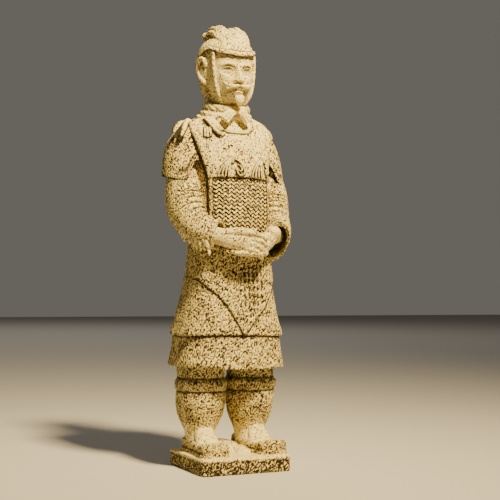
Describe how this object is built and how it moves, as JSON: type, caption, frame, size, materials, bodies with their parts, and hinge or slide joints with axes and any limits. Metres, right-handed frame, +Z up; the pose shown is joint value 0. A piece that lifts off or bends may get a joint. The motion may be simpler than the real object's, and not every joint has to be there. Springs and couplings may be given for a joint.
{
  "type": "standing armoured officer figure",
  "caption": "Standing figure of an armoured officer with folded hands, knotted scarf, cap, scale armour coat and square-toed shoes, cast in one with a low square plinth.",
  "frame": {"origin": "middle of the plinth's flat underside", "axes": "+Z up, the figure faces -Y, its right hand is on the -X side"},
  "size_m": [0.1331, 0.106, 0.4531],
  "materials": {
    "cast_stone": "resin-bound cast stone, stippled and pitted, cream wash over a dark brown ground"
  },
  "bodies": {
    "root": {"warrior": "cast_stone"}
  },
  "joints": []
}
